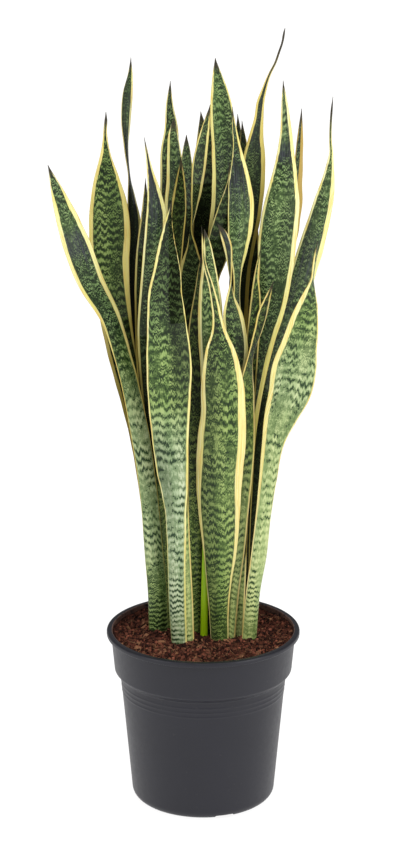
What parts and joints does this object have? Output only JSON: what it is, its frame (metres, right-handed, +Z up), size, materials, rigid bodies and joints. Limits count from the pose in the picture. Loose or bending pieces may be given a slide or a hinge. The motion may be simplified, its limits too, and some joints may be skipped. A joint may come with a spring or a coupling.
{
  "type": "potted laurentii snake plant",
  "caption": "Upright variegated sword-leaved house plant with yellow leaf margins, standing in soil in a round tapered nursery pot with a collar and a rolled lip.",
  "frame": {"origin": "middle of the pot's flat underside, on the surface that it stands on", "axes": "+Z up the plant, -Y the front, +X to the right seen from the front"},
  "size_m": [0.3405, 0.24, 0.9573],
  "materials": {
    "pot_plastic": "satin moulded polypropylene, anthracite",
    "soil_peat": "loose damp peat with bark chips",
    "leaf_green": "waxy green leaf with dark cross-bands and yellow margins"
  },
  "bodies": {
    "root": {"pot": "pot_plastic", "soil": "soil_peat", "leaf_left_outer": "leaf_green", "leaf_left_rear_broad": "leaf_green", "leaf_left_rear_twisted": "leaf_green", "leaf_left_dark": "leaf_green", "leaf_left_dark_behind": "leaf_green", "leaf_left_behind_outer": "leaf_green", "leaf_front_left": "leaf_green", "leaf_front_left_behind": "leaf_green", "leaf_mid_left": "leaf_green", "leaf_mid_left_rear": "leaf_green", "leaf_mid_spear": "leaf_green", "leaf_centre_rear_dark": "leaf_green", "leaf_centre_leaning": "leaf_green", "leaf_centre_broad": "leaf_green", "leaf_centre_twisted_tall": "leaf_green", "leaf_centre_small_tip": "leaf_green", "leaf_centre_right": "leaf_green", "leaf_rear_small_left": "leaf_green", "leaf_rear_small_right": "leaf_green", "leaf_right_rear_tall": "leaf_green", "leaf_right_tall": "leaf_green", "leaf_right_rear": "leaf_green", "leaf_right_outer": "leaf_green", "leaf_front_right": "leaf_green", "leaf_right_short": "leaf_green", "leaf_right_inner_small": "leaf_green", "leaf_centre_twisted": "leaf_green", "leaf_front_centre": "leaf_green", "leaf_centre_behind": "leaf_green", "leaf_centre_left_narrow": "leaf_green", "leaf_young_shoot": "leaf_green"}
  },
  "joints": []
}
